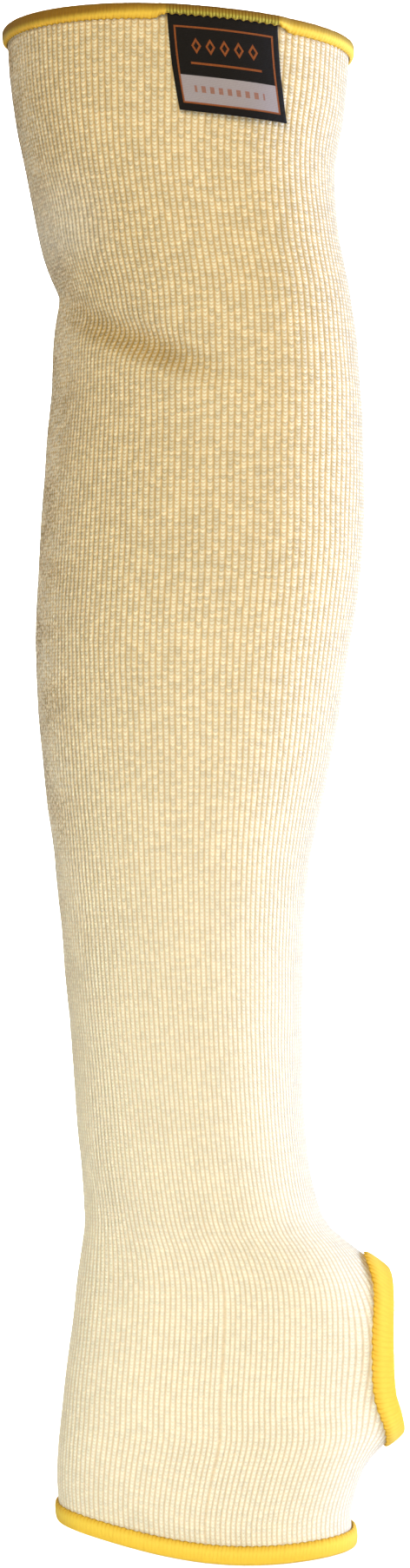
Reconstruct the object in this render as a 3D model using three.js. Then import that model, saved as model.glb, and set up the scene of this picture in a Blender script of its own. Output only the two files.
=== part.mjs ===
import * as THREE from 'three';

// Cut resistant sleeve in the form it takes on a slightly bent arm: a knitted tube from the upper arm
// to the palm, bound at both ends and round the thumb opening, with a woven label at the upper hem.
// Lengths are millimetres. +Z points to the upper arm, +X to the thumb side, -Y to the front.
// The origin is the middle of the upper arm opening.

// Sizes of the knitted tube
const sleeveLength = 430;
const upperArmWidth = 98.2;
const upperArmDepth = 82;
const forearmWidth = 93.3;
const forearmDepth = 80;
const wristWidth = 66;
const wristDepth = 58;
const palmWidth = 92;
const palmDepth = 43;
const knitWall = 1.6;

// Sizes of the thumb opening and of the collar that its binding pulls up
const thumbLength = 46;
const thumbWidth = 24;
const thumbAboveHand = 52.4;
const collarHeight = 6;
const collarSpread = 12;

// Sizes of the bindings and of the label, whose angle is in degrees from the thumb side over the front
const upperHemReach = 2.8;
const hemReachAtLabel = 1.4;
const handHemReach = 3.7;
const thumbReach = 3.2;
const bandThickness = 1.2;
const crownThickness = 1.3;
const labelWidth = 31;
const labelHeight = 27.2;
const labelThickness = 1;
const labelAngle = 77.8;
const labelTop = 0.8;
const labelDrift = 2.3;
const labelTilt = 1.8;
const labelHang = 1.2;
const labelFadeColumns = 1.4;

// Gaps between pieces
const clearance = 0.3;
const thumbClearance = 0.45;
const labelClearance = 0.45;

// How far from its edge a rim's rise or fall dies out
const rimFade = 60;

// Mesh density. columnCrowding is how much closer the columns stand at the thumb side.
const columns = 40;
const columnCrowding = 0.4;
const rowsAboveThumb = 7;
const rowsBelowThumb = 4;
const holeRows = 12;
const thumbSteps = 28;
const labelColumns = 8;
const labelRows = 8;

const upperArm = { width: upperArmWidth, depth: upperArmDepth };
const forearm = { width: forearmWidth, depth: forearmDepth };
const wrist = { width: wristWidth, depth: wristDepth };
const palm = { width: palmWidth, depth: palmDepth };

// Cross sections from the upper arm to the hand. down: share of sleeveLength. size: the girth that the
// row follows. centre, width and lean: shares of its width. depth: share of its depth. A lean moves the
// front to the thumb side and the back away from it. square: 2 is an ellipse, more is boxier.
const sections = [
  { down: 0.000, size: upperArm, centre: 0.000, width: 1.000, depth: 1.00, lean: 0.06, square: 2.3 },
  { down: 0.044, size: upperArm, centre: 0.000, width: 0.970, depth: 0.99, lean: 0.07, square: 2.3 },
  { down: 0.090, size: upperArm, centre: 0.006, width: 0.897, depth: 0.98, lean: 0.09, square: 2.3 },
  { down: 0.137, size: upperArm, centre: 0.041, width: 0.848, depth: 0.98, lean: 0.12, square: 2.3 },
  { down: 0.175, size: upperArm, centre: 0.068, width: 0.853, depth: 0.99, lean: 0.13, square: 2.3 },
  { down: 0.230, size: forearm, centre: 0.083, width: 0.932, depth: 1.02, lean: 0.15, square: 2.3 },
  { down: 0.277, size: forearm, centre: 0.080, width: 0.969, depth: 1.02, lean: 0.15, square: 2.2 },
  { down: 0.347, size: forearm, centre: 0.068, width: 0.988, depth: 1.00, lean: 0.13, square: 2.2 },
  { down: 0.416, size: forearm, centre: 0.042, width: 0.959, depth: 0.96, lean: 0.10, square: 2.2 },
  { down: 0.486, size: forearm, centre: 0.027, width: 0.886, depth: 0.89, lean: 0.06, square: 2.2 },
  { down: 0.556, size: wrist, centre: 0.020, width: 1.109, depth: 1.13, lean: 0.04, square: 2.2 },
  { down: 0.640, size: wrist, centre: 0.032, width: 1.030, depth: 1.03, lean: 0.02, square: 2.2 },
  { down: 0.733, size: wrist, centre: 0.064, width: 0.998, depth: 0.95, lean: 0.00, square: 2.2 },
  { down: 0.791, size: palm, centre: 0.084, width: 0.746, depth: 1.16, lean: 0.00, square: 2.4 },
  { down: 0.814, size: palm, centre: 0.125, width: 0.856, depth: 1.08, lean: 0.00, square: 2.6 },
  { down: 0.837, size: palm, centre: 0.146, width: 0.928, depth: 1.03, lean: 0.00, square: 2.8 },
  { down: 0.872, size: palm, centre: 0.145, width: 0.961, depth: 1.00, lean: 0.00, square: 3.0 },
  { down: 0.907, size: palm, centre: 0.134, width: 0.979, depth: 0.98, lean: 0.00, square: 3.0 },
  { down: 0.930, size: palm, centre: 0.132, width: 0.994, depth: 0.97, lean: 0.00, square: 3.0 },
  { down: 0.953, size: palm, centre: 0.106, width: 0.960, depth: 0.96, lean: 0.00, square: 2.8 },
  { down: 0.977, size: palm, centre: 0.087, width: 0.926, depth: 0.95, lean: 0.00, square: 2.6 },
  { down: 1.000, size: palm, centre: 0.092, width: 0.914, depth: 0.94, lean: 0.00, square: 2.6 },
];

// Folds, dents and ridges. around and reach: shares of the way round. down, spread and slope: shares of
// sleeveLength, slope for a whole way round. height: share of upperArmDepth, below zero for a groove.
const folds = [
  { around: 0.352, down: 0.209, reach: 0.100, spread: 0.011, slope: -0.22, height: -0.040 },
  { around: 0.490, down: 0.172, reach: 0.070, spread: 0.014, slope: -0.10, height: -0.010 },
  { around: 0.620, down: 0.186, reach: 0.080, spread: 0.013, slope: 0.20, height: -0.036 },
  { around: 0.410, down: 0.145, reach: 0.085, spread: 0.024, slope: -0.10, height: 0.026 },
  { around: 0.590, down: 0.139, reach: 0.075, spread: 0.024, slope: 0.10, height: 0.020 },
  { around: 0.310, down: 0.236, reach: 0.090, spread: 0.020, slope: -0.10, height: 0.016 },
  { around: 0.235, down: 0.115, reach: 0.050, spread: 0.070, slope: 0.00, height: -0.018 },
];

// Rise of the upper and the hand rim above its level, at four places round it: shares of upperArmDepth.
const rims = [
  { thumbSide: -0.057, front: 0.029, farSide: 0.028, back: -0.004 },
  { thumbSide: -0.035, front: -0.069, farSide: 0.056, back: 0.016 },
];
const [upperRim, handRim] = rims;

// Rows of the tube's mesh above the thumb opening: shares of sleeveLength, and rows in each stretch.
const stretches = [
  { from: 0.000, to: 0.120, rows: 5 },
  { from: 0.120, to: 0.172, rows: 4 },
  { from: 0.172, to: 0.220, rows: 7 },
  { from: 0.220, to: 0.280, rows: 4 },
  { from: 0.280, to: 0.720, rows: 11 },
];

// Bend of those rows along the elbow crease, lowest away from it. around and reach: shares of the way
// round. down, spread, lowest and rise: shares of sleeveLength.
const rowBends = [{ around: 0.49, reach: 0.16, down: 0.196, spread: 0.06, lowest: 0.024, rise: 0.054 }];
const [creaseBend] = rowBends;

// Outline of a binding, from the end of its outer leg over the crown to the end of its inner leg.
// reach: share of the leg's reach. out: share of the band's thickness.
const legOutline = [
  { reach: 1.00, out: 0.00 },
  { reach: 1.00, out: 0.50 },
  { reach: 0.72, out: 1.00 },
  { reach: 0.25, out: 1.08 },
];
const shoulderOutline = [{ rise: 0.62, out: 0.70 }];
const [crownShoulder] = shoulderOutline;

const fullTurn = 2 * Math.PI;
const labelAround = labelAngle / 360;
const tableSteps = 240;
const derivativeStep = 1e-3;
const leastNearness = 0.01;

// Value of a table's column at a share of the length, smooth through the rows.
function smooth(rows, place, value) {
  let i = 0;
  while (i < rows.length - 2 && place > rows[i + 1].down) i += 1;
  const slopeAt = (k) => {
    const before = rows[Math.max(k - 1, 0)];
    const after = rows[Math.min(k + 1, rows.length - 1)];
    return (value(after) - value(before)) / (after.down - before.down);
  };
  const span = rows[i + 1].down - rows[i].down;
  const t = (place - rows[i].down) / span;
  const first = value(rows[i]);
  const last = value(rows[i + 1]);
  const start = slopeAt(i) * span;
  const end = slopeAt(i + 1) * span;
  const bend = 3 * (last - first) - 2 * start - end;
  const rest = start + end - 2 * (last - first);
  return first + t * (start + t * (bend + t * rest));
}

// Section at a share of the length, with a table that turns the way round into an angle.
const sectionCache = new Map();
function sectionAt(down) {
  if (sectionCache.has(down)) return sectionCache.get(down);
  const lean = smooth(sections, down, (row) => row.lean * row.size.width);
  const halfWidth = smooth(sections, down, (row) => (row.width * row.size.width) / 2);
  const section = {
    centre: smooth(sections, down, (row) => row.centre * row.size.width),
    lean,
    halfWidth: Math.sqrt(halfWidth * halfWidth - lean * lean),
    halfDepth: smooth(sections, down, (row) => (row.depth * row.size.depth) / 2),
    power: 2 / smooth(sections, down, (row) => row.square),
  };
  const lengths = [0];
  let before = sectionPoint(section, 0);
  for (let k = 1; k <= tableSteps; k += 1) {
    const here = sectionPoint(section, (fullTurn * k) / tableSteps);
    lengths.push(lengths[k - 1] + Math.hypot(here.x - before.x, here.y - before.y));
    before = here;
  }
  section.lengths = lengths;
  section.girth = lengths[tableSteps];
  sectionCache.set(down, section);
  return section;
}

// Point of a section at an angle that starts at the thumb side and passes the front first.
function sectionPoint(section, angle) {
  const across = Math.cos(angle);
  const along = Math.sin(angle);
  const x = Math.sign(across) * Math.abs(across) ** section.power;
  const y = Math.sign(along) * Math.abs(along) ** section.power;
  return {
    x: section.centre + section.halfWidth * x + section.lean * y,
    y: -section.halfDepth * y,
    outX: x / section.halfWidth,
    outY: -y / section.halfDepth,
  };
}

// Angle at a share of the way round, so that equal shares are equal lengths of cloth.
function angleAt(section, around) {
  const turn = around - Math.floor(around);
  const wanted = turn * section.girth;
  let low = 0;
  let high = tableSteps;
  while (high - low > 1) {
    const middle = (low + high) >> 1;
    if (section.lengths[middle] > wanted) high = middle;
    else low = middle;
  }
  const part = (wanted - section.lengths[low]) / (section.lengths[high] - section.lengths[low]);
  return (fullTurn * (low + part)) / tableSteps;
}

// Shortest signed way round between two places.
function wayRound(from, to) {
  const gap = to - from;
  return gap - Math.round(gap);
}

function foldHeight(around, down) {
  let height = 0;
  for (const fold of folds) {
    const aside = wayRound(fold.around, around);
    const below = down - fold.down - fold.slope * aside;
    height += fold.height * Math.exp(-((aside / fold.reach) ** 2) - (below / fold.spread) ** 2);
  }
  return height * upperArmDepth;
}

function rimRise(rim, around) {
  const angle = fullTurn * around;
  const mean = (rim.thumbSide + rim.front + rim.farSide + rim.back) / 4;
  const sideways = (rim.thumbSide - rim.farSide) / 2;
  const forward = (rim.front - rim.back) / 2;
  const oval = (rim.thumbSide + rim.farSide - rim.front - rim.back) / 4;
  const waves = sideways * Math.cos(angle) + forward * Math.sin(angle) + oval * Math.cos(2 * angle);
  return upperArmDepth * (mean + waves);
}

function fade(distance) {
  const t = Math.min(1, Math.max(0, distance / rimFade));
  return (1 - t) * (1 - t) * (1 + 2 * t);
}

const thumbDown = sleeveLength - thumbAboveHand;
const thumbMiddle = thumbDown / sleeveLength;
const thumbHalf = thumbLength / 2 / sleeveLength;
const thumbGirth = sectionAt(thumbMiddle).girth;

// Pull of the thumb binding, towards the thumb side, at a place on the tube.
function collarRise(around, down) {
  const aside = wayRound(0, around) * thumbGirth;
  const below = down * sleeveLength - thumbDown;
  const size = Math.hypot(aside / (thumbWidth / 2), below / (thumbLength / 2));
  if (size <= 1) return collarHeight * collarShare(below);
  const distance = Math.hypot(aside, below) * (1 - 1 / size);
  if (distance >= collarSpread) return 0;
  return collarHeight * collarShare(below) * (1 - distance / collarSpread) ** 2;
}

// The collar is lower at its upper end.
function collarShare(below) {
  return 0.9 + 0.1 * Math.min(1, Math.max(-1, below / (thumbLength / 2)));
}

// Outside of the knit at a share of the way round and a share of the length.
function cloth(around, down) {
  const section = sectionAt(down);
  const point = sectionPoint(section, angleAt(section, around));
  const out = foldHeight(around, down) / Math.hypot(point.outX, point.outY);
  const fromTop = down * sleeveLength;
  const upper = rimRise(upperRim, around) * fade(fromTop);
  const lower = rimRise(handRim, around) * fade(sleeveLength - fromTop);
  return new THREE.Vector3(
    point.x + point.outX * out + collarRise(around, down),
    point.y + point.outY * out,
    upper + lower - fromTop,
  );
}

// Outward direction of the knit.
function clothNormal(around, down) {
  const above = Math.max(0, down - derivativeStep);
  const below = Math.min(1, down + derivativeStep);
  const turning = cloth(around + derivativeStep, down).sub(cloth(around - derivativeStep, down));
  const falling = cloth(around, below).sub(cloth(around, above));
  return turning.cross(falling).normalize();
}

function offCloth(around, down, out) {
  return cloth(around, down).addScaledVector(clothNormal(around, down), out);
}

class Mesher {
  constructor() {
    this.points = [];
    this.faces = [];
  }

  add(point) {
    this.points.push(point);
    return this.points.length - 1;
  }

  // Two triangles over the shorter diagonal, seen from outside in the order given.
  quad(a, b, c, d) {
    const [p, q, r, s] = [a, b, c, d].map((i) => this.points[i]);
    if (p.distanceTo(r) <= q.distanceTo(s)) this.faces.push(a, b, c, a, c, d);
    else this.faces.push(a, b, d, b, c, d);
  }

  mesh(name, look) {
    const geometry = new THREE.BufferGeometry().setFromPoints(this.points);
    geometry.setIndex(this.faces);
    geometry.computeVertexNormals();
    const mesh = new THREE.Mesh(geometry, new THREE.MeshStandardMaterial(look));
    mesh.name = name;
    return mesh;
  }
}

// Closed wall between an outer and an inner surface, given by row and column. In a joined row the last
// column is the first one again.
function wall(name, look, rows, cols, outer, inner, joined) {
  const mesher = new Mesher();
  const surface = (place) => {
    const lines = [];
    for (let i = 0; i <= rows; i += 1) {
      const line = [];
      const last = joined(i) ? cols - 1 : cols;
      for (let j = 0; j <= last; j += 1) line.push(mesher.add(place(i, j)));
      if (joined(i)) line.push(line[0]);
      lines.push(line);
    }
    return lines;
  };
  const o = surface(outer);
  const n = surface(inner);
  for (let i = 0; i < rows; i += 1) {
    for (let j = 0; j < cols; j += 1) {
      mesher.quad(o[i][j], o[i][j + 1], o[i + 1][j + 1], o[i + 1][j]);
      mesher.quad(n[i][j], n[i + 1][j], n[i + 1][j + 1], n[i][j + 1]);
    }
    if (!joined(i) || !joined(i + 1)) {
      mesher.quad(o[i][0], o[i + 1][0], n[i + 1][0], n[i][0]);
      mesher.quad(o[i + 1][cols], o[i][cols], n[i][cols], n[i + 1][cols]);
    }
  }
  for (let j = 0; j < cols; j += 1) {
    mesher.quad(o[0][j + 1], o[0][j], n[0][j], n[0][j + 1]);
    mesher.quad(o[rows][j], o[rows][j + 1], n[rows][j + 1], n[rows][j]);
  }
  return mesher.mesh(name, look);
}

// Closed ring that carries an outline round an edge. place takes the step round the edge, the way in
// from the edge and the way out from the knit.
function binding(name, look, steps, outlineAt, place) {
  const mesher = new Mesher();
  const rings = [];
  for (let j = 0; j < steps; j += 1) {
    rings.push(outlineAt(j).map((point) => mesher.add(place(j, point.into, point.out))));
  }
  for (let j = 0; j < steps; j += 1) {
    const here = rings[j];
    const next = rings[(j + 1) % steps];
    for (let k = 0; k < here.length; k += 1) {
      const after = (k + 1) % here.length;
      mesher.quad(here[k], here[after], next[after], next[k]);
    }
  }
  return mesher.mesh(name, look);
}

// Outline of a binding that clasps the knit's edge with a gap, its outer leg lifted where asked.
function clasp(outerReach, innerReach, gap, lift) {
  const face = gap + lift;
  const back = -knitWall - gap;
  const crown = gap + crownThickness;
  const outerLeg = legOutline.map((point) => ({
    into: point.reach * outerReach,
    out: face + point.out * bandThickness,
  }));
  const innerLeg = legOutline.map((point) => ({
    into: point.reach * innerReach,
    out: back - point.out * bandThickness,
  }));
  return [
    ...outerLeg,
    { into: -crown * crownShoulder.rise, out: face + bandThickness * crownShoulder.out },
    { into: -crown, out: (face + back) / 2 },
    { into: -crown * crownShoulder.rise, out: back - bandThickness * crownShoulder.out },
    ...innerLeg.reverse(),
    { into: -gap, out: back },
    { into: -gap, out: face },
  ];
}

function columnShare(j) {
  const t = j / columns;
  return t - (columnCrowding * Math.sin(fullTurn * t)) / fullTurn;
}

// Half the width of the thumb opening, as a share of the way round, at a share of the length.
function openingAt(down) {
  const share = (down - thumbMiddle) / thumbHalf;
  if (Math.abs(share) >= 1) return 0;
  return (thumbWidth / 2 / thumbGirth) * Math.sqrt(1 - share * share);
}

// Rows near the elbow run along its crease, which is highest on the far side.
function alongCrease(around, down) {
  const aside = wayRound(creaseBend.around, around) / creaseBend.reach;
  const below = (down - creaseBend.down) / creaseBend.spread;
  const shift = creaseBend.lowest - creaseBend.rise * Math.exp(-aside * aside);
  const nearness = Math.exp(-below * below);
  return nearness > leastNearness ? down + shift * nearness : down;
}

function tubeRows() {
  const rows = [0];
  for (const { from, to, rows: count } of stretches) {
    for (let k = 1; k <= count; k += 1) rows.push(from + ((to - from) * k) / count);
  }
  const top = thumbMiddle - thumbHalf;
  const last = rows[rows.length - 1];
  for (let k = 1; k < rowsAboveThumb; k += 1) rows.push(last + ((top - last) * k) / rowsAboveThumb);
  for (let k = 0; k <= holeRows; k += 1) {
    rows.push(thumbMiddle - thumbHalf * Math.cos((Math.PI * k) / holeRows));
  }
  const bottom = thumbMiddle + thumbHalf;
  for (let k = 1; k <= rowsBelowThumb; k += 1) {
    rows.push(bottom + ((1 - bottom) * k) / rowsBelowThumb);
  }
  return rows;
}

function knitTube() {
  const rows = tubeRows();
  const firstOpen = rows.findIndex((down) => down > thumbMiddle - thumbHalf * 0.9999);
  const lastOpen = firstOpen + holeRows - 2;
  const place = (out) => (i, j) => {
    const isOpen = i >= firstOpen && i <= lastOpen;
    const edge = isOpen ? openingAt(rows[i]) : 0;
    const around = edge + (1 - 2 * edge) * columnShare(j);
    return offCloth(around, alongCrease(around, rows[i]), out);
  };
  const joined = (i) => i < firstOpen || i > lastOpen;
  const look = { color: 0xf0dfb4, roughness: 0.9, metalness: 0 };
  return wall('knit_tube', look, rows.length - 1, columns, place(0), place(-knitWall), joined);
}

// How much of the label lies under a place round the upper hem: 1 over it, 0 some columns beyond.
function labelCover(around) {
  const halfLabel = labelWidth / 2 / sectionAt(0).girth;
  const edge = labelFadeColumns / columns;
  const beyond = Math.abs(wayRound(labelAround, around)) - halfLabel - edge;
  return 1 - Math.min(1, Math.max(0, beyond / edge));
}

function upperArmHem() {
  const outline = (j) => {
    const cover = labelCover(columnShare(j));
    const reach = upperHemReach + (hemReachAtLabel - upperHemReach) * cover;
    return clasp(reach, upperHemReach, clearance, (labelThickness + labelClearance) * cover);
  };
  const place = (j, into, out) => hemPlace(columnShare(j), 0, 1, into, out);
  const look = { color: 0xf2d877, roughness: 0.95, metalness: 0 };
  return binding('upper_arm_hem', look, columns, outline, place);
}

function handHem() {
  const outline = () => clasp(handHemReach, handHemReach, clearance, 0);
  const place = (j, into, out) => hemPlace(columnShare(columns - j), 1, -1, into, out);
  const look = { color: 0xf7e27e, roughness: 0.95, metalness: 0 };
  return binding('hand_hem', look, columns, outline, place);
}

// Place at a rim. way is 1 where the knit lies further down, -1 where it lies further up.
function hemPlace(around, rim, way, into, out) {
  const down = rim + (way * Math.max(into, 0)) / sleeveLength;
  const point = offCloth(around, down, out);
  if (into >= 0) return point;
  const inside = cloth(around, rim + way * derivativeStep);
  const onwards = cloth(around, rim).sub(inside).normalize();
  return point.addScaledVector(onwards, -into);
}

function thumbBinding() {
  const outline = () => clasp(thumbReach, thumbReach, thumbClearance, 0);
  const edgeAt = (j, into) => {
    const angle = (fullTurn * j) / thumbSteps;
    const aside = (thumbWidth / 2 + into) / thumbGirth;
    const below = (thumbLength / 2 + into) / sleeveLength;
    return [aside * Math.cos(angle), thumbMiddle - below * Math.sin(angle)];
  };
  const place = (j, into, out) => {
    const point = offCloth(...edgeAt(j, Math.max(into, 0)), out);
    if (into >= 0) return point;
    const onwards = cloth(...edgeAt(j, 0)).sub(cloth(...edgeAt(j, 1))).normalize();
    return point.addScaledVector(onwards, -into);
  };
  const look = { color: 0xf8e582, roughness: 0.95, metalness: 0 };
  return binding('thumb_binding', look, thumbSteps, outline, place);
}

function wovenLabel() {
  const girth = sectionAt(0).girth;
  const place = (out) => (i, j) => {
    const share = i / labelRows;
    const column = j / labelColumns - 0.5;
    const aside = labelWidth * column - labelDrift * share ** 1.5;
    const down = (labelTop + (labelHeight - labelTilt * column) * share) / sleeveLength;
    return offCloth(labelAround + aside / girth, down, out + labelHang * share ** 2);
  };
  const inside = labelClearance;
  const outside = labelClearance + labelThickness;
  const look = { color: 0x1b1918, roughness: 0.7, metalness: 0 };
  const open = () => false;
  return wall('label', look, labelRows, labelColumns, place(outside), place(inside), open);
}

const sleeve = new THREE.Group();
sleeve.name = 'cut_resistant_sleeve';
sleeve.add(knitTube(), upperArmHem(), handHem(), thumbBinding(), wovenLabel());

export default sleeve;
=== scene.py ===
import math

import bpy
import numpy as np
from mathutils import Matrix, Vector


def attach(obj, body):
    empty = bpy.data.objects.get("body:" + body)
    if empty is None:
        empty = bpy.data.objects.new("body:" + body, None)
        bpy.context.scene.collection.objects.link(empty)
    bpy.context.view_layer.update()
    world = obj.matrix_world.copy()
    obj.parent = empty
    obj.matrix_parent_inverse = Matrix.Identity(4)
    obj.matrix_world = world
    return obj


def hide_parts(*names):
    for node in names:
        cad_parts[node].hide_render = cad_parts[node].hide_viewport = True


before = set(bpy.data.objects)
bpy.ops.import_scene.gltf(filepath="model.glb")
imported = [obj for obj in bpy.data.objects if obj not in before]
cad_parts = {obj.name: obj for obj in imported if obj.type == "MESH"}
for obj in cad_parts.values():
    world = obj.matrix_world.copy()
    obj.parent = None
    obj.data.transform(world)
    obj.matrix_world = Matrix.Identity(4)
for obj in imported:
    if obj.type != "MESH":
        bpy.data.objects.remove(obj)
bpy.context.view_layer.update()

# Sizes of the sleeve in millimetres, as in the CAD model. Along it, "down" is a share of the length
# from the upper arm to the hand. Round it, "around" is a share of the girth from the thumb side over
# the front.
LENGTH = 430.0
UPPER_ARM = (98.2, 82.0)
FOREARM = (93.3, 80.0)
WRIST = (66.0, 58.0)
PALM = (92.0, 43.0)
WALL = 1.6
THUMB_LENGTH = 46.0
THUMB_WIDTH = 24.0
THUMB_DOWN = 377.6
COLLAR_HEIGHT = 6.0
COLLAR_SPREAD = 12.0
UPPER_HEM_REACH = 2.8
HEM_REACH_AT_LABEL = 1.4
HAND_HEM_REACH = 3.7
THUMB_REACH = 3.2
BAND = 1.2
CROWN = 1.3
CLASP_GAP = 0.15
HEM_SWELL = 0.15
THUMB_SWELL = 0.3
THUMB_EDGE = 115.0
TEETH_PITCH = 2.2
WRAP_PITCH = 1.1
WRAP_HEIGHT = 0.09
PILE_REACH = 1.3
PILE_LIFT = 0.8
LABEL_WIDTH = 31.0
LABEL_HEIGHT = 27.2
LABEL_AROUND = 77.8 / 360
LABEL_TOP = 0.8
LABEL_DRIFT = 2.3
LABEL_TILT = 1.8
LABEL_HANG = 1.2
LABEL_GAP = 0.45
LABEL_CURL = 0.25
LABEL_THICKNESS = 0.7
RIM_FADE = 60.0

# The knit: columns of stitches round the tube, height of a stitch, mesh columns to a column of stitches
WALES = 144
COURSE = 1.0
STEPS_PER_WALE = 4
RIB_HEIGHT = 0.22
UNEVEN_WAVES = 14
UNEVEN_HEIGHT = 0.05

# The crease at the elbow, which the mesh's rows follow
CREASE_AROUND, CREASE_REACH = 0.49, 0.16
CREASE_DOWN, CREASE_SPREAD = 0.196, 0.06
CREASE_SHIFT, CREASE_SAG = 0.024, 0.054

# Share of the girth, on each side of the thumb opening, whose columns of stitches make room for it
THUMB_ROOM = 0.16

# Where the thread piles up on the thumb binding, as shares of the way round it
PILE_AT, PILE_SPREAD = 0.19, 0.05

# Shares of the girth beside the label over which the hem's edge eases back
LABEL_EASE_START, LABEL_EASE = 0.002, 0.012

# Points of a band's outline at the outer leg's end, which show the bites of the thread
BITE_POINTS = 7

# The camera looks along +Y: its distance and the height it sees at the sleeve in mm, its place in m
CAMERA_DISTANCE = 1500
SEEN_HEIGHT = 452.8
CAMERA_X, CAMERA_Z = 0.008, -0.2151
SENSOR = 36

# name, place, target, width, height, power, colour, spread, in metres and watts
LIGHTS = [
    ("key", (1.1, 0.22, -0.30), (0, 0, -0.22), 0.5, 1.2, 32, (0.50, 0.63, 1.0), math.pi),
    ("side", (1.06, -0.28, -0.30), (0, 0, -0.22), 0.5, 1.2, 5.0, (0.92, 0.86, 1.0), math.pi),
    ("fill", (-0.26, -1.3, 0.6), (0, 0, -0.20), 0.6, 0.6, 9.0, (1.0, 0.84, 0.56), math.pi),
    ("front", (0.05, -1.6, 0.1), (0, 0, -0.20), 0.6, 1.2, 9.5, (1.0, 0.97, 0.78), math.pi),
    ("low", (-0.45, -1.2, -0.50), (0, 0, -0.47), 0.4, 0.3, 0.5, (0.66, 0.82, 1.0), 0.55),
    ("wall", (0.0, 0.45, 1.3), (0, 1.45, -0.35), 0.5, 0.5, 28, (1.0, 1.0, 1.0), 1.0),
]

# down, the size that the rest are shares of, centre, width, depth, lean, and how square it is
SECTIONS = [
    (0.000, UPPER_ARM, 0.000, 1.000, 1.00, 0.06, 2.3),
    (0.044, UPPER_ARM, 0.000, 0.970, 0.99, 0.07, 2.3),
    (0.090, UPPER_ARM, 0.006, 0.897, 0.98, 0.09, 2.3),
    (0.137, UPPER_ARM, 0.041, 0.848, 0.98, 0.12, 2.3),
    (0.175, UPPER_ARM, 0.068, 0.853, 0.99, 0.13, 2.3),
    (0.230, FOREARM, 0.083, 0.932, 1.02, 0.15, 2.3),
    (0.277, FOREARM, 0.080, 0.969, 1.02, 0.15, 2.2),
    (0.347, FOREARM, 0.068, 0.988, 1.00, 0.13, 2.2),
    (0.416, FOREARM, 0.042, 0.959, 0.96, 0.10, 2.2),
    (0.486, FOREARM, 0.027, 0.886, 0.89, 0.06, 2.2),
    (0.556, WRIST, 0.020, 1.109, 1.13, 0.04, 2.2),
    (0.640, WRIST, 0.032, 1.030, 1.03, 0.02, 2.2),
    (0.733, WRIST, 0.064, 0.998, 0.95, 0.00, 2.2),
    (0.791, PALM, 0.084, 0.746, 1.16, 0.00, 2.4),
    (0.814, PALM, 0.125, 0.856, 1.08, 0.00, 2.6),
    (0.837, PALM, 0.146, 0.928, 1.03, 0.00, 2.8),
    (0.872, PALM, 0.145, 0.961, 1.00, 0.00, 3.0),
    (0.907, PALM, 0.134, 0.979, 0.98, 0.00, 3.0),
    (0.930, PALM, 0.132, 0.994, 0.97, 0.00, 3.0),
    (0.953, PALM, 0.106, 0.960, 0.96, 0.00, 2.8),
    (0.977, PALM, 0.087, 0.926, 0.95, 0.00, 2.6),
    (1.000, PALM, 0.092, 0.914, 0.94, 0.00, 2.6),
]

# Folds at the elbow: around, down, reach round, spread down, slope, height
FOLDS = [
    (0.352, 0.209, 0.100, 0.011, -0.22, -0.040),
    (0.490, 0.172, 0.070, 0.014, -0.10, -0.010),
    (0.620, 0.186, 0.080, 0.013, 0.20, -0.036),
    (0.410, 0.145, 0.085, 0.024, -0.10, 0.026),
    (0.590, 0.139, 0.075, 0.024, 0.10, 0.020),
    (0.310, 0.236, 0.090, 0.020, -0.10, 0.016),
    (0.235, 0.115, 0.050, 0.070, 0.00, -0.018),
]

# Rise of each rim at the thumb side, front, far side and back, as a share of the upper arm's depth
UPPER_RIM = (-0.057, 0.029, 0.028, -0.004)
HAND_RIM = (-0.035, -0.069, 0.056, 0.016)

rng = np.random.default_rng(7)


class Column:
    """Value of a section's column at a share of the length, smooth through the rows."""

    def __init__(self, value):
        self.x = np.array([row[0] for row in SECTIONS])
        self.y = np.array([value(row) for row in SECTIONS])
        before = np.maximum(np.arange(len(self.x)) - 1, 0)
        after = np.minimum(np.arange(len(self.x)) + 1, len(self.x) - 1)
        self.slope = (self.y[after] - self.y[before]) / (self.x[after] - self.x[before])

    def __call__(self, down):
        i = np.clip(np.searchsorted(self.x, down, side="left") - 1, 0, len(self.x) - 2)
        span = self.x[i + 1] - self.x[i]
        t = (down - self.x[i]) / span
        first, last = self.y[i], self.y[i + 1]
        start, end = self.slope[i] * span, self.slope[i + 1] * span
        bend = 3 * (last - first) - 2 * start - end
        rest = start + end - 2 * (last - first)
        return first + t * (start + t * (bend + t * rest))


centre_at = Column(lambda r: r[2] * r[1][0])
half_width_at = Column(lambda r: r[3] * r[1][0] / 2)
half_depth_at = Column(lambda r: r[4] * r[1][1] / 2)
lean_at = Column(lambda r: r[5] * r[1][0])
square_at = Column(lambda r: r[6])


def section_point(down, angle):
    """Point of a section, and its outward direction, not yet of unit length."""
    lean = lean_at(down)
    half_width = np.sqrt(half_width_at(down) ** 2 - lean**2)
    half_depth = half_depth_at(down)
    power = 2 / square_at(down)
    across, along = np.cos(angle), np.sin(angle)
    x = np.sign(across) * np.abs(across) ** power
    y = np.sign(along) * np.abs(along) ** power
    return (
        centre_at(down) + half_width * x + lean * y,
        -half_depth * y,
        x / half_width,
        -y / half_depth,
    )


# Angle at equal lengths of cloth round the tube, for every millimetre of its length
TABLE_DOWNS = np.linspace(0, 1, 431)
TABLE_TURNS = np.linspace(0, 1, 721)


def arc_tables():
    angles = np.linspace(0, 2 * math.pi, 481)
    down, angle = np.meshgrid(TABLE_DOWNS, angles, indexing="ij")
    x, y, _, _ = section_point(down, angle)
    pieces = np.hypot(np.diff(x, axis=1), np.diff(y, axis=1))
    lengths = np.concatenate([np.zeros((len(TABLE_DOWNS), 1)), np.cumsum(pieces, axis=1)], axis=1)
    table = np.array([np.interp(TABLE_TURNS * row[-1], row, angles) for row in lengths])
    return table, lengths[:, -1]


ANGLES, GIRTHS = arc_tables()


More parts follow.
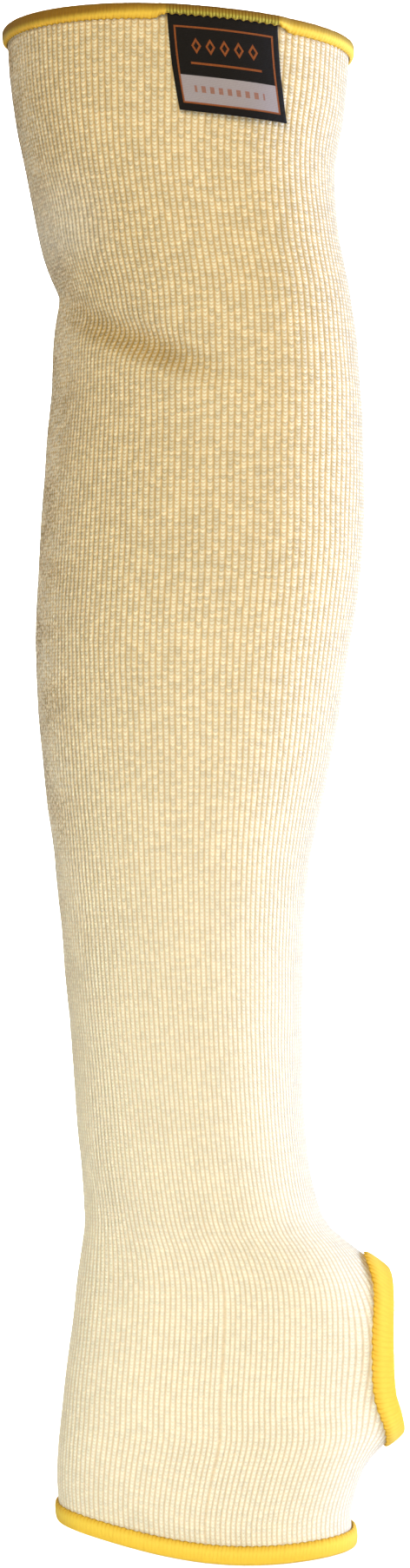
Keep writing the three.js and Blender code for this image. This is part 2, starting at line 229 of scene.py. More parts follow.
def girth_at(down):
    return np.interp(down, TABLE_DOWNS, GIRTHS)


def angle_at(around, down):
    turn = (around - np.floor(around)) * (len(TABLE_TURNS) - 1)
    row = np.clip(down, 0, 1) * (len(TABLE_DOWNS) - 1)
    j = np.minimum(turn.astype(int), len(TABLE_TURNS) - 2)
    i = np.minimum(row.astype(int), len(TABLE_DOWNS) - 2)
    p, q = turn - j, row - i
    upper = ANGLES[i, j] * (1 - p) + ANGLES[i, j + 1] * p
    lower = ANGLES[i + 1, j] * (1 - p) + ANGLES[i + 1, j + 1] * p
    return upper * (1 - q) + lower * q


def way_round(start, end):
    gap = end - start
    return gap - np.round(gap)


def fold_height(around, down):
    height = np.zeros_like(around)
    for at, below_top, reach, spread, slope, high in FOLDS:
        aside = way_round(at, around)
        below = down - below_top - slope * aside
        height = height + high * np.exp(-((aside / reach) ** 2) - (below / spread) ** 2)
    return height * UPPER_ARM[1]


def rim_rise(rim, around):
    thumb_side, front, far_side, back = rim
    angle = 2 * math.pi * around
    waves = (thumb_side - far_side) / 2 * np.cos(angle) + (front - back) / 2 * np.sin(angle)
    waves = waves + (thumb_side + far_side - front - back) / 4 * np.cos(2 * angle)
    return UPPER_ARM[1] * (sum(rim) / 4 + waves)


def fade(distance):
    t = np.clip(distance / RIM_FADE, 0, 1)
    return (1 - t) ** 2 * (1 + 2 * t)


THUMB_MIDDLE = THUMB_DOWN / LENGTH
THUMB_HALF = THUMB_LENGTH / 2 / LENGTH
THUMB_GIRTH = float(girth_at(THUMB_MIDDLE))


def collar_rise(around, down):
    """Pull of the thumb binding towards the thumb side."""
    aside = way_round(0, around) * THUMB_GIRTH
    below = down * LENGTH - THUMB_DOWN
    size = np.maximum(np.hypot(aside / (THUMB_WIDTH / 2), below / (THUMB_LENGTH / 2)), 1)
    distance = np.hypot(aside, below) * (1 - 1 / size)
    share = 0.9 + 0.1 * np.clip(below / (THUMB_LENGTH / 2), -1, 1)
    return COLLAR_HEIGHT * share * np.clip(1 - distance / COLLAR_SPREAD, 0, 1) ** 2


def cloth(around, down):
    """Outside of the knit, in millimetres, on a last axis of three."""
    around, down = np.broadcast_arrays(np.asarray(around, float), np.asarray(down, float))
    x, y, out_x, out_y = section_point(down, angle_at(around, down))
    out = fold_height(around, down) / np.hypot(out_x, out_y)
    from_top = down * LENGTH
    upper = rim_rise(UPPER_RIM, around) * fade(from_top)
    lower = rim_rise(HAND_RIM, around) * fade(LENGTH - from_top)
    x = x + out_x * out + collar_rise(around, down)
    return np.stack([x, y + out_y * out, upper + lower - from_top], axis=-1)


def cloth_normal(around, down, step=2e-3):
    turning = cloth(around + step, down) - cloth(around - step, down)
    falling = cloth(around, np.minimum(down + step, 1)) - cloth(around, np.maximum(down - step, 0))
    normal = np.cross(turning, falling)
    return normal / np.linalg.norm(normal, axis=-1, keepdims=True)


def off_cloth(around, down, out):
    return cloth(around, down) + cloth_normal(around, down) * np.asarray(out)[..., None]


def make_piece(name, points, faces, corner_uvs, material, node):
    """A mesh in metres from points in millimetres, with one UV pair for each face corner."""
    mesh = bpy.data.meshes.new(name)
    mesh.from_pydata((np.asarray(points) / 1000).tolist(), [], faces)
    layer = mesh.uv_layers.new(name="cloth")
    layer.data.foreach_set("uv", np.asarray(corner_uvs, np.float32).ravel())
    mesh.polygons.foreach_set("use_smooth", [True] * len(mesh.polygons))
    mesh.materials.append(material)
    mesh.update()
    piece = bpy.data.objects.new(name, mesh)
    bpy.context.scene.collection.objects.link(piece)
    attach(piece, "root")
    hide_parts(node)
    return piece


# Materials


def linear(red, green, blue):
    """Linear colour of an sRGB one given in 0 to 255."""
    values = [v / 255 for v in (red, green, blue)]
    return tuple(v / 12.92 if v <= 0.04045 else ((v + 0.055) / 1.055) ** 2.4 for v in values) + (1.0,)


class Look:
    """A material whose nodes are chained by short calls."""

    def __init__(self, name, roughness, sheen, sheen_tint):
        self.material = bpy.data.materials.new(name)
        self.material.use_nodes = True
        self.nodes = self.material.node_tree.nodes
        self.links = self.material.node_tree.links
        self.shader = self.nodes["Principled BSDF"]
        self.shader.inputs["Roughness"].default_value = roughness
        self.shader.inputs["Specular IOR Level"].default_value = 0.2
        self.shader.inputs["Sheen Weight"].default_value = sheen
        self.shader.inputs["Sheen Roughness"].default_value = 0.5
        self.shader.inputs["Sheen Tint"].default_value = sheen_tint
        pin = self.nodes.new("ShaderNodeUVMap")
        pin.uv_map = "cloth"
        split = self.nodes.new("ShaderNodeSeparateXYZ")
        self.links.new(pin.outputs["UV"], split.inputs[0])
        self.u, self.v = split.outputs[0], split.outputs[1]

    def put(self, socket, value):
        if isinstance(value, (int, float, tuple)):
            socket.default_value = value
        else:
            self.links.new(value, socket)

    def math(self, operation, first, second=None):
        node = self.nodes.new("ShaderNodeMath")
        node.operation = operation
        for socket, value in zip(node.inputs, (first, second)):
            if value is not None:
                self.put(socket, value)
        return node.outputs[0]

    def add(self, first, second):
        return self.math("ADD", first, second)

    def minus(self, first, second):
        return self.math("SUBTRACT", first, second)

    def times(self, first, second):
        return self.math("MULTIPLY", first, second)

    def most(self, first, second):
        return self.math("MAXIMUM", first, second)

    def size(self, value):
        return self.math("ABSOLUTE", value)

    def near(self, value, middle, reach):
        """1 within reach of the middle, 0 elsewhere."""
        return self.math("LESS_THAN", self.size(self.minus(value, middle)), reach)

    def threads(self, place, pitch=1.0):
        """Round backs of threads side by side: 0 between two of them, 1 on top."""
        return self.size(self.math("SINE", self.times(place, math.pi / pitch)))

    def ramp(self, value, low, high):
        """0 below low, 1 above high, smooth between."""
        node = self.nodes.new("ShaderNodeMapRange")
        node.interpolation_type = "SMOOTHSTEP"
        self.put(node.inputs["Value"], value)
        node.inputs["From Min"].default_value = low
        node.inputs["From Max"].default_value = high
        return node.outputs["Result"]

    def fall(self, value, low, high):
        """1 below low, 0 above high, smooth between."""
        return self.minus(1.0, self.ramp(value, low, high))

    def vector(self, x, y):
        node = self.nodes.new("ShaderNodeCombineXYZ")
        self.put(node.inputs[0], x)
        self.put(node.inputs[1], y)
        return node.outputs[0]

    def noise(self, vector, scale, detail):
        node = self.nodes.new("ShaderNodeTexNoise")
        node.inputs["Scale"].default_value = scale
        node.inputs["Detail"].default_value = detail
        self.links.new(vector, node.inputs["Vector"])
        return node.outputs["Fac"]

    def scatter(self, vector):
        """A random value for each whole-number place."""
        node = self.nodes.new("ShaderNodeTexWhiteNoise")
        node.noise_dimensions = "2D"
        self.links.new(vector, node.inputs["Vector"])
        return node.outputs["Value"]

    def mix(self, share, first, second):
        node = self.nodes.new("ShaderNodeMix")
        node.data_type = "RGBA"
        self.put(node.inputs[0], share)
        self.put(node.inputs[6], first)
        self.put(node.inputs[7], second)
        return node.outputs[2]

    def shade(self, colour, value):
        """The colour times a value."""
        node = self.nodes.new("ShaderNodeVectorMath")
        node.operation = "SCALE"
        self.put(node.inputs[0], colour)
        self.put(node.inputs["Scale"], value)
        return node.outputs[0]

    def finish(self, colour, height, depth):
        bump = self.nodes.new("ShaderNodeBump")
        bump.inputs["Strength"].default_value = 1.0
        bump.inputs["Distance"].default_value = depth
        self.links.new(height, bump.inputs["Height"])
        self.links.new(bump.outputs[0], self.shader.inputs["Normal"])
        self.links.new(colour, self.shader.inputs["Base Color"])
        return self.material


def knit_look():
    """Plain knit seen from its face: u counts columns of stitches, v counts rows of stitches."""
    look = Look("aramid_knit", 0.95, 0.05, linear(255, 250, 236))
    cream, gold = linear(253, 244, 216), linear(214, 170, 84)
    # A brown for painted shade on the far side, and a pale for lint and a painted highlight
    shade_brown, lint_and_highlight_colour = linear(140, 98, 50), linear(250, 243, 228)

    # Columns or rows of stitches over which the smoother knit, each painted shade or the painted
    # highlight comes in or goes out
    smoother = (130.0, 310.0)
    fold_column, fold_row, fold_slope = 46.5, 90.0, 0.60
    fold_above, fold_below, fold_ends = (-8.0, 0.0), (1.0, 5.5), (5.0, 18.0)
    far_in, far_out, far_end = (50.0, 68.0), (96.0, 112.0), (190.0, 330.0)
    bulge_highlight_in, bulge_in, bulge_out = (43.0, 57.0), (32.0, 56.0), (58.0, 71.0)

    place = look.vector(look.u, look.v)
    side = look.size(look.minus(look.times(look.math("FRACT", look.u), 2.0), 1.0))
    wobble = look.noise(place, 0.35, 1.0)
    row = look.add(look.add(look.v, look.times(side, 0.55)), look.times(wobble, 0.8))
    loop = look.math("SINE", look.times(look.math("FRACT", row), math.pi))
    crown = look.minus(1.0, look.math("POWER", side, 2.2))
    stitch = look.scatter(look.vector(look.math("FLOOR", look.u), look.math("FLOOR", row)))
    yarn = look.noise(place, 2.6, 3.0)
    broad = look.noise(place, 0.05, 2.0)
    height = look.times(crown, look.add(look.times(loop, 0.5), 0.5))
    height = look.add(height, look.times(yarn, 0.9))

    # Gold shows in the grooves and between the loops, less so down the sleeve
    groove = look.ramp(look.add(side, look.times(yarn, 0.5)), 0.55, 1.15)
    smooth = look.ramp(look.v, *smoother)
    gap = look.times(look.fall(loop, 0.15, 1.0), 0.6)
    gap = look.times(gap, look.minus(1.0, look.times(smooth, 0.4)))
    share = look.most(look.times(groove, 0.72), gap)
    share = look.times(share, look.minus(1.0, look.times(smooth, 0.28)))

    # Painted shade on the upper side of the elbow fold: more gold shows there and the tone is darker
    across = look.minus(look.u, fold_column)
    below = look.add(look.minus(look.v, fold_row), look.times(across, fold_slope))
    fold_shade = look.times(look.ramp(below, *fold_above), look.fall(below, *fold_below))
    fold_shade = look.times(fold_shade, look.fall(look.size(across), *fold_ends))
    share = look.math("MINIMUM", look.add(share, look.times(fold_shade, 0.2)), 1.0)
    colour = look.mix(share, cream, gold)
    speckle = look.minus(0.23, look.times(smooth, 0.14))
    tone = look.add(0.945, look.times(look.minus(stitch, 0.5), speckle))
    tone = look.add(tone, look.times(look.minus(yarn, 0.5), 0.35))
    tone = look.add(tone, look.times(look.minus(broad, 0.5), 0.16))
    # The painted shade of the elbow fold darkens the tone
    tone = look.times(tone, look.minus(1.0, look.times(fold_shade, 0.22)))

    # On the far side, away from the key light, a browner ground is painted shade, with pale lint over it,
    # most of all on the bulge over the elbow
    far = look.times(look.ramp(look.u, *far_in), look.fall(look.u, *far_out))
    far = look.times(far, look.fall(look.v, *far_end))
    bulge = look.times(look.ramp(look.v, *bulge_in), look.fall(look.v, *bulge_out))
    # A painted highlight on the bulge over the elbow, textured by the lint
    bulge_highlight = look.times(look.ramp(look.u, *bulge_highlight_in), look.fall(look.u, *far_out))
    bulge_highlight = look.times(bulge_highlight, bulge)
    patches = look.vector(look.times(look.u, 0.5), look.times(look.v, 0.35))
    patches = look.most(look.ramp(look.noise(patches, 0.17, 2.0), 0.40, 0.60), bulge)
    lint = look.noise(look.vector(look.times(look.u, 1.6), look.v), 0.9, 3.0)
    lint = look.ramp(lint, 0.44, 0.58)
    # Painted shade: the far side's brown ground, broken by the lint and the patches
    far_shade = look.times(look.minus(1.0, lint), look.minus(1.0, look.times(patches, 0.75)))
    colour = look.mix(look.times(look.times(far, far_shade), 0.50), colour, shade_brown)
    # Pale lint on the far side, denser in the patches and on the bulge, where the paleness is also a
    # painted highlight
    lint_and_highlight = look.times(look.times(far, lint), look.add(0.30, look.times(patches, 0.40)))
    lint_and_highlight = look.most(lint_and_highlight, look.times(bulge_highlight, look.add(0.40, look.times(lint, 0.30))))
    colour = look.mix(lint_and_highlight, colour, lint_and_highlight_colour)
    return look.finish(look.shade(colour, tone), height, 0.0003)


def binding_look(name, puff, hatch, crown, rise=0.0, label_at=None):
    """Overlock thread: u is millimetres along the edge, v runs from the outer leg's end over the crown.

    The colour laid over the crown, painted shade on the upper hem, reaches further down the outer leg, by
    rise, past rise_in along the edge.
    """
    look = Look(name, 0.9, 0.1, linear(255, 240, 190))
    rise_in = (80.0, 112.0)
    place = look.vector(look.u, look.times(look.v, 8.0))
    wobble = look.times(look.noise(place, 0.6, 2.0), 0.7)
    slant = look.add(look.times(look.u, 1 / WRAP_PITCH), look.add(look.times(look.v, 3.0), wobble))
    wrap = look.threads(slant)
    filament = look.noise(look.vector(look.times(look.u, 6.0), look.times(look.v, 14.0)), 1.0, 3.0)
    height = look.add(look.times(wrap, 0.35), look.times(filament, 0.6))
    near_knit = look.fall(look.v, 0.10, 0.22)
    line = look.fall(wrap, 0.15, 0.75)
    share = look.times(near_knit, look.add(0.35, look.times(line, 0.4)))
    share = look.most(share, look.times(line, 0.15))
    colour = look.mix(share, puff, hatch)
    if label_at is not None:
        # Olive threads hold the label
        half = LABEL_WIDTH / 2
        over = look.fall(look.size(look.minus(look.u, label_at)), half - 0.5, half + 0.7)
        thread = look.ramp(look.threads(look.u, 0.9), 0.1, 0.9)
        olive = look.mix(thread, linear(120, 108, 30), linear(196, 182, 78))
        colour = look.mix(look.times(over, look.ramp(look.v, 0.03, 0.09)), colour, olive)
    edge = look.fall(look.add(look.v, look.times(wrap, 0.045)), 0.04, 0.12)
    colour = look.mix(look.times(edge, 0.5), colour, linear(150, 94, 14))
    # The crown colour is laid over the crown; on the upper hem its dark brown is painted shade, where the
    # band's top turns away from the light
    up = look.add(look.v, look.times(look.ramp(look.u, *rise_in), rise))
    colour = look.mix(look.times(look.ramp(up, 0.20, 0.36), 0.85), colour, crown)
    tone = look.add(0.86, look.times(filament, 0.22))
    return look.finish(look.shade(colour, tone), height, 0.00022)


def label_look():
    """Woven label: u and v are millimetres across and down."""
    look = Look("woven_label", 0.75, 0.05, linear(190, 180, 170))
    black, copper, grey = linear(24, 21, 19), linear(158, 88, 44), linear(176, 168, 176)
    frame_left, frame_right, frame_top, frame_bottom = 1.8, 29.2, 4.1, 24.9
    frame_line, panel_top = 0.26, 17.4
    mark_left, mark_right = 5.5, 25.5
    lozenge_row, bar_row, dash_row = 9.2, 14.0, 21.0
    lozenge_pitch, dashes_per_mm = 4.0, 0.4

    from_x = look.size(look.minus(look.u, (frame_left + frame_right) / 2))
    from_y = look.size(look.minus(look.v, (frame_top + frame_bottom) / 2))
    outside = look.most(
        look.minus(from_x, (frame_right - frame_left) / 2),
        look.minus(from_y, (frame_bottom - frame_top) / 2),
    )
    inside = look.math("LESS_THAN", outside, 0.0)
    line = look.math("LESS_THAN", look.size(outside), frame_line)
    panel = look.times(inside, look.math("GREATER_THAN", look.v, panel_top))

    # A row of small lozenges over a thin bar and a row of dashes, in place of what the real label carries
    cell = look.math("FRACT", look.math("DIVIDE", look.minus(look.u, mark_left), lozenge_pitch))
    across = look.times(look.size(look.minus(cell, 0.5)), lozenge_pitch)
    up = look.size(look.minus(look.v, lozenge_row))
    lozenge = look.near(look.add(across, look.times(up, 0.62)), 1.05, 0.33)
    after_left = look.math("GREATER_THAN", look.u, mark_left)
    within = look.times(after_left, look.math("LESS_THAN", look.u, mark_right))
    lozenge = look.times(lozenge, within)
    bar = look.times(look.near(look.v, bar_row, 0.3), within)
    dash = look.math("LESS_THAN", look.math("FRACT", look.times(look.u, dashes_per_mm)), 0.5)
    dashes = look.times(look.times(look.near(look.v, dash_row, 0.9), dash), within)
    mark = look.most(look.most(line, lozenge), bar)

    weave = look.times(look.threads(look.u, 0.32), look.threads(look.v, 0.38))
    speck = look.noise(look.vector(look.u, look.v), 4.0, 2.0)
    colour = look.mix(panel, black, grey)
    colour = look.mix(look.times(dashes, 0.7), colour, copper)
    colour = look.mix(look.times(mark, look.add(0.65, look.times(speck, 0.5))), colour, copper)
    tone = look.add(0.8, look.add(look.times(weave, 0.3), look.times(speck, 0.15)))
    return look.finish(look.shade(colour, tone), weave, 0.00012)


# Knitted tube


def row_places():
    """Shares of the length at the mesh's rows, closer at the elbow and at the thumb opening."""
    top, bottom = THUMB_MIDDLE - THUMB_HALF, THUMB_MIDDLE + THUMB_HALF
    spans = [(0, 0.12, 16), (0.12, 0.28, 42), (0.28, 0.72, 28), (0.72, top, 12)]
    parts = [np.linspace(start, end, number, endpoint=False) for start, end, number in spans]
    parts.append(THUMB_MIDDLE - THUMB_HALF * np.cos(np.linspace(0, math.pi, 23)))
    parts.append(np.linspace(bottom, 1, 10)[1:])
    return np.concatenate(parts)


def along_crease(around, down):
    """Rows of the mesh are bent so that they run along the crease."""
    aside = way_round(CREASE_AROUND, around) / CREASE_REACH
    shift = CREASE_SHIFT - CREASE_SAG * np.exp(-(aside**2))
    nearness = np.exp(-(((down - CREASE_DOWN) / CREASE_SPREAD) ** 2))
    return np.where(nearness > 0.01, down + shift * nearness, down)


def opened(turn, down):
    """Columns of stitches are pushed aside by the thumb opening."""
    share = np.clip((down - THUMB_MIDDLE) / THUMB_HALF, -1, 1)
    edge = THUMB_WIDTH / 2 / THUMB_GIRTH * np.sqrt(1 - share**2)
    room = THUMB_ROOM
    low = edge + turn * (room - edge) / room
    high = 1 - edge - (1 - turn) * (room - edge) / room
    return np.where(turn < room, low, np.where(turn > 1 - room, high, turn))


def uneven(around, down):
    """Slight unevenness of worn cloth, in millimetres."""
    total = np.zeros_like(around)
    for _ in range(UNEVEN_WAVES):
        turns = rng.integers(2, 9)
        waves = rng.uniform(4, 20)
        start = rng.uniform(0, 2 * math.pi)
        total = total + np.sin(2 * math.pi * (turns * around + waves * down) + start)
    return total * UNEVEN_HEIGHT


def knit_sleeve():
    rows = row_places()
    count = WALES * STEPS_PER_WALE
    turns = np.linspace(0, 1, count + 1)
    down, turn = np.meshgrid(rows, turns, indexing="ij")
    wale = opened(turn, down)
    place = along_crease(wale, down)
    around = wale + lean_at(place) / girth_at(place)
    side = np.abs(2 * (turn * WALES % 1) - 1)
    width = girth_at(place) / WALES
    beside_thumb = np.clip((0.2 - np.minimum(turn, 1 - turn)) / 0.04, 0, 1)
    by_thumb = beside_thumb * np.clip((down - 0.76) / 0.04, 0, 1)
    rib = RIB_HEIGHT * (width / 2) * (0.15 - side**2.2) * (1 - by_thumb)
    normal = cloth_normal(around, place)
    base = cloth(around, place)
    outer = base + normal * (rib + uneven(around, place))[..., None]
    step = STEPS_PER_WALE
    inner = (base - normal * WALL)[:, ::step]

    # The rows that the thumb opening cuts keep both their ends, the others close into rings
    open_rows = np.abs(rows - THUMB_MIDDLE) < THUMB_HALF * 0.9999
    points = []
    ids = []
    for grid in (outer, inner):
        lines = []
        for i in range(len(rows)):
            line = np.arange(grid.shape[1]) + len(points)
            if open_rows[i]:
                points.extend(grid[i])
            else:
                points.extend(grid[i, :-1])
                line[-1] = line[0]
            lines.append(line)
        ids.append(np.array(lines))
    o, n = ids
    course = place * LENGTH / COURSE
    uv_o = np.stack([wale * WALES, course], axis=-1)
    uv_n = uv_o[:, ::step]

    faces = []
    uvs = []

    def quads(grid, uv, flip):
        first, second = slice(0, -1), slice(1, None)
        order = [(first, first), (first, second), (second, second), (second, first)]
        if flip:
            order = [order[0]] + order[:0:-1]
        faces.extend(np.stack([grid[s] for s in order], axis=-1).reshape(-1, 4).tolist())
        uvs.append(np.stack([uv[s] for s in order], axis=-2).reshape(-1, 2))

    quads(o, uv_o, False)
    quads(n, uv_n, True)

    def face(*corners):
        faces.append([int(ids[k][i, j]) for k, i, j in corners])
        uvs.append(np.array([(uv_o, uv_n)[k][i, j] for k, i, j in corners]))

    # At each rim a fan of triangles joins four mesh columns outside to one inside
    last = len(rows) - 1
    for m in range(WALES):
        f = m * step
        fan = [
            ((1, 0, m), (0, 0, f + 1), (0, 0, f)),
            ((1, 0, m), (0, 0, f + 2), (0, 0, f + 1)),
            ((1, 0, m), (1, 0, m + 1), (0, 0, f + 2)),
            ((1, 0, m + 1), (0, 0, f + 3), (0, 0, f + 2)),
            ((1, 0, m + 1), (0, 0, f + 4), (0, 0, f + 3)),
        ]
        for corners in fan:
            face(*corners)
            face(*[(k, last, j) for k, _, j in reversed(corners)])
    for i in range(last):
        if open_rows[i] or open_rows[i + 1]:
            face((0, i, 0), (0, i + 1, 0), (1, i + 1, 0), (1, i, 0))
            face((0, i + 1, count), (0, i, count), (1, i, WALES), (1, i + 1, WALES))
    piece = make_piece("knit_sleeve", points, faces, np.concatenate(uvs), knit_look(), "knit_tube")


# Bindings

# Corners of a band's leg, from its end to the edge: shares of its reach and of the band's height
LEG = [(1.00, 0.05), (1.03, 0.40), (0.93, 0.80), (0.70, 1.02), (0.42, 1.10), (0.12, 1.08)]
OUTLINE_PARTS = 3
OUTLINE_TURN = (2 * len(LEG) + 5) * OUTLINE_PARTS


def clasp(outer_reach, inner_reach, lift, crown):
    """Corners of a band's closed outline: ways in from the edge, and ways out from the knit."""
    face, back = CLASP_GAP + lift, -WALL - CLASP_GAP
    top = CLASP_GAP + crown
    points = [(r * outer_reach, face + o * BAND) for r, o in LEG]
    points.append((-top * 0.62, face + BAND * 0.78))
    points.append((-top, (face + back) / 2))
    points.append((-top * 0.62, back - BAND * 0.78))
    points += [(r * inner_reach, back - o * BAND) for r, o in reversed(LEG)]
    points += [(-CLASP_GAP, back), (-CLASP_GAP, face)]
    return np.array(points)


def smooth_outline(points):
    """Points along the outline, which stays straight where it lies against the knit's edge."""
    before, after, beyond = np.roll(points, 1, 0), np.roll(points, -1, 0), np.roll(points, -2, 0)
    lines = []
    for k in range(OUTLINE_PARTS):
        t = k / OUTLINE_PARTS
        square = (2 * before - 5 * points + 4 * after - beyond) * t**2
        cube = (3 * points - before - 3 * after + beyond) * t**3
        lines.append(0.5 * (2 * points + (after - before) * t + square + cube))
    smooth = np.stack(lines, axis=1).reshape(-1, 2)
    return np.concatenate([smooth[: -2 * OUTLINE_PARTS], points[-2:]])


def thread_swell(along, across):
    """Swell of the wrapped thread along an edge."""
    phase = along / WRAP_PITCH + across
    return WRAP_HEIGHT * (np.abs(np.sin(math.pi * phase)) ** 0.7 - 0.5)


def ring(name, steps, outline_at, place, girth, material, node):
    """Closed ring that carries an outline round an edge."""
    share = np.arange(steps) / steps
    outlines = np.array([smooth_outline(outline_at(s)) for s in share])
    into, out = outlines[..., 0], outlines[..., 1]
    number = outlines.shape[1]
    around = np.repeat(share[:, None], number, 1)
    wave = thread_swell(around * girth, into * 0.25)

    # The thread swells outwards on both sides of the middle of the crown
    k = np.arange(number)
    middle = len(LEG) * OUTLINE_PARTS + 4
    outer_side = ((k > 0) & (k < middle)).astype(float)
    inner_side = ((k > middle) & (k < 2 * middle)).astype(float)
    out = out + wave * outer_side - wave * inner_side
    into = into + wave * 1.2 * (k < BITE_POINTS)
    grid = place(around, into, out)
    points = grid.reshape(-1, 3)
    ids = np.arange(steps * number).reshape(steps, number)
    beside = np.roll(ids, -1, 1)
    corners = [ids, beside, np.roll(beside, -1, 0), np.roll(ids, -1, 0)]
    faces = np.stack(corners, axis=-1).reshape(-1, 4)
    u0 = around * girth
    u1 = u0 + girth / steps
    v0 = np.repeat((k / OUTLINE_TURN)[None], steps, 0)
    v1 = v0 + 1 / OUTLINE_TURN
    pairs = ((u0, v0), (u0, v1), (u1, v1), (u1, v0))
    uv = np.stack([np.stack(pair, -1) for pair in pairs], axis=-2).reshape(-1, 2)
    return make_piece(name, points, faces.tolist(), uv, material, node)


def rim_place(rim, way):
    def place(around, into, out):
        turn = around if way > 0 else -around
        down = rim + way * np.maximum(into, 0) / LENGTH
        point = off_cloth(turn, down, out)
        onwards = cloth(turn, rim + 0 * turn) - cloth(turn, rim + way * 1e-3 + 0 * turn)
        onwards = onwards / np.linalg.norm(onwards, axis=-1, keepdims=True)
        return point + onwards * np.maximum(-into, 0)[..., None]

    return place


def thumb_place(around, into, out):
    def at(way_in):
        angle = 2 * math.pi * around
        aside = (THUMB_WIDTH / 2 + way_in) / THUMB_GIRTH
        below = (THUMB_LENGTH / 2 + way_in) / LENGTH
        return aside * np.cos(angle), THUMB_MIDDLE - below * np.sin(angle)

    point = off_cloth(*at(np.maximum(into, 0)), out)
    onwards = cloth(*at(0 * into)) - cloth(*at(0 * into + 1))
    onwards = onwards / np.linalg.norm(onwards, axis=-1, keepdims=True)
    return point + onwards * np.maximum(-into, 0)[..., None]


def label_cover(around):
    """1 over the label, 0 clear of it."""
    half = LABEL_WIDTH / 2 / GIRTHS[0]
    beyond = abs(way_round(LABEL_AROUND, around)) - half
    return float(1 - np.clip((beyond - LABEL_EASE_START) / LABEL_EASE, 0, 1))


def bindings():
    upper_girth, hand_girth = float(GIRTHS[0]), float(GIRTHS[-1])
    upper = binding_look(
        "binding_upper",
        puff=linear(250, 212, 84),
        hatch=linear(238, 174, 44),
        # Dark brown painted shade on the band's top, which turns away from the light
        crown=linear(128, 80, 18),
        rise=0.08,
        label_at=LABEL_AROUND * upper_girth,
    )
    hand = binding_look(
        "binding_hand",
        puff=linear(244, 206, 74),
        hatch=linear(226, 160, 38),
        crown=linear(240, 190, 56),
    )

    def teeth(along):
        """Zigzag of the thread's bites along an edge."""
        return abs(((along / TEETH_PITCH) % 1) * 2 - 1) - 0.5

    def upper_outline(share):
        cover = label_cover(share)
        reach = UPPER_HEM_REACH + (HEM_REACH_AT_LABEL - UPPER_HEM_REACH) * cover
        zigzag = (0.3 + 0.25 * cover) * teeth(share * upper_girth)
        return clasp(reach + zigzag, UPPER_HEM_REACH, 1.25 * cover, CROWN + HEM_SWELL)

    def hand_outline(share):
        reach = HAND_HEM_REACH + 0.3 * teeth(share * hand_girth)
        return clasp(reach, HAND_HEM_REACH, 0, CROWN + HEM_SWELL)

    def thumb_outline(share):
        """Threads pile up at the upper end, on the front."""
        pile = math.exp(-(((share - PILE_AT) / PILE_SPREAD) ** 2))
        reach = THUMB_REACH + PILE_REACH * pile + 0.25 * teeth(share * THUMB_EDGE)
        return clasp(reach, THUMB_REACH, PILE_LIFT * pile, CROWN + THUMB_SWELL)

    upper_place, hand_place = rim_place(0, 1), rim_place(1, -1)
    ring("upper_hem_band", 780, upper_outline, upper_place, upper_girth, upper, "upper_arm_hem")
    ring("hand_hem_band", 620, hand_outline, hand_place, hand_girth, hand, "hand_hem")
    ring("thumb_band", 360, thumb_outline, thumb_place, THUMB_EDGE, hand, "thumb_binding")


# Label


def label():
    across, rows = 48, 44
    share, column = np.meshgrid(np.linspace(0, 1, rows), np.linspace(0, 1, across), indexing="ij")
    aside = LABEL_WIDTH * (column - 0.5) - LABEL_DRIFT * share**1.5
    down = (LABEL_TOP + (LABEL_HEIGHT - LABEL_TILT * (column - 0.5)) * share) / LENGTH
    around = LABEL_AROUND + aside / GIRTHS[0]
    lift = LABEL_GAP + LABEL_HANG * share**2 + LABEL_CURL * np.sin(column * 5.2 + 0.6) * share
    outer = off_cloth(around, down, lift + LABEL_THICKNESS)
    inner = off_cloth(around, down, lift)
    points = np.concatenate([outer.reshape(-1, 3), inner.reshape(-1, 3)])
    o = np.arange(rows * across).reshape(rows, across)
    n = o + rows * across
    uv_grid = np.stack([(1 - column) * LABEL_WIDTH, share * LABEL_HEIGHT], axis=-1)
    faces = []
    uvs = []

    def quad(*corners):
        faces.append([int(grid[i, j]) for grid, i, j in corners])
        uvs.append([uv_grid[i, j] for _, i, j in corners])

    for i in range(rows - 1):
        for j in range(across - 1):
            quad((o, i, j), (o, i, j + 1), (o, i + 1, j + 1), (o, i + 1, j))
            quad((n, i, j), (n, i + 1, j), (n, i + 1, j + 1), (n, i, j + 1))
        quad((o, i, 0), (o, i + 1, 0), (n, i + 1, 0), (n, i, 0))
        e = across - 1
        quad((o, i + 1, e), (o, i, e), (n, i, e), (n, i + 1, e))
    for j in range(across - 1):
        e = rows - 1
        quad((o, 0, j + 1), (o, 0, j), (n, 0, j), (n, 0, j + 1))
        quad((o, e, j), (o, e, j + 1), (n, e, j + 1), (n, e, j))
    corner_uvs = np.array(uvs).reshape(-1, 2)
    piece = make_piece("woven_label", points, faces, corner_uvs, label_look(), "label")


# Stage


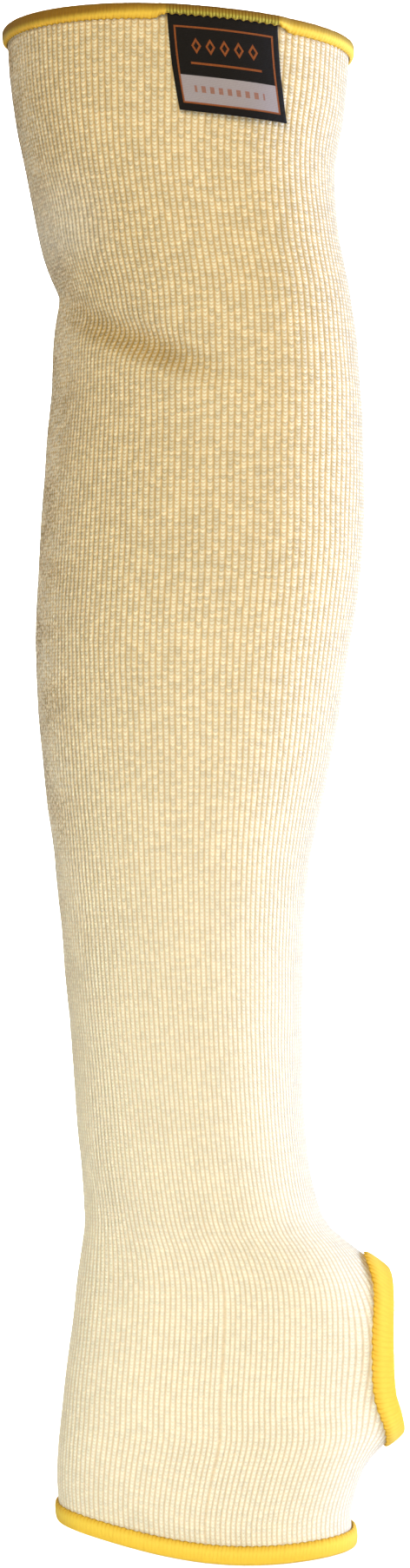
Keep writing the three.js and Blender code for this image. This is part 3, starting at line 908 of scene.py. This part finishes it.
def backdrop():
    """Pale floor that curves up into a wall behind."""
    floor, behind, bend = -0.52, 1.6, 0.5
    in_front, top, half_width = -3.0, 2.6, 3.2
    profile = [(in_front, floor), (behind - bend, floor)]
    for k in range(1, 13):
        a = math.pi / 2 * k / 12
        profile.append((behind - bend + bend * math.sin(a), floor + bend - bend * math.cos(a)))
    profile.append((behind, top))
    mesh = bpy.data.meshes.new("backdrop")
    points = [(x, y, z) for x in (-half_width, half_width) for y, z in profile]
    n = len(profile)
    mesh.from_pydata(points, [], [(k, k + n, k + n + 1, k + 1) for k in range(n - 1)])
    mesh.polygons.foreach_set("use_smooth", [True] * len(mesh.polygons))
    material = bpy.data.materials.new("backdrop")
    material.use_nodes = True
    shader = material.node_tree.nodes["Principled BSDF"]
    shader.inputs["Base Color"].default_value = (0.93, 0.93, 0.93, 1)
    shader.inputs["Roughness"].default_value = 0.95

    # The backdrop is clear from behind, so that the sleeve shows from there too
    nodes, links = material.node_tree.nodes, material.node_tree.links
    side = nodes.new("ShaderNodeNewGeometry")
    clear = nodes.new("ShaderNodeBsdfTransparent")
    both = nodes.new("ShaderNodeMixShader")
    links.new(side.outputs["Backfacing"], both.inputs[0])
    links.new(shader.outputs[0], both.inputs[1])
    links.new(clear.outputs[0], both.inputs[2])
    links.new(both.outputs[0], nodes["Material Output"].inputs["Surface"])
    mesh.materials.append(material)
    piece = bpy.data.objects.new("backdrop", mesh)
    bpy.context.scene.collection.objects.link(piece)


def area_light(name, place, target, width, height, power, colour, spread):
    data = bpy.data.lights.new(name, "AREA")
    data.shape = "RECTANGLE"
    data.size, data.size_y = width, height
    data.energy = power
    data.color = colour
    data.spread = spread
    lamp = bpy.data.objects.new(name, data)
    lamp.location = place
    aim = Vector(target) - Vector(place)
    lamp.rotation_euler = aim.to_track_quat("-Z", "Y").to_euler()
    bpy.context.scene.collection.objects.link(lamp)


def light_and_camera():
    for light in LIGHTS:
        area_light(*light)
    world = bpy.data.worlds.new("studio")
    world.use_nodes = True
    background = world.node_tree.nodes["Background"]
    background.inputs["Color"].default_value = (0.9, 0.95, 1.0, 1)
    background.inputs["Strength"].default_value = 0.03
    scene = bpy.context.scene
    scene.world = world
    scene.view_settings.view_transform = "Standard"
    camera = bpy.data.cameras.new("camera")
    camera.sensor_fit = "VERTICAL"
    camera.sensor_height = SENSOR
    camera.lens = SENSOR * CAMERA_DISTANCE / SEEN_HEIGHT
    camera.clip_end = 20
    holder = bpy.data.objects.new("camera", camera)
    holder.location = (CAMERA_X, -CAMERA_DISTANCE / 1000, CAMERA_Z)
    holder.rotation_euler = (math.pi / 2, 0, 0)
    scene.collection.objects.link(holder)
    scene.camera = holder


light_and_camera()
backdrop()
knit_sleeve()
bindings()
label()
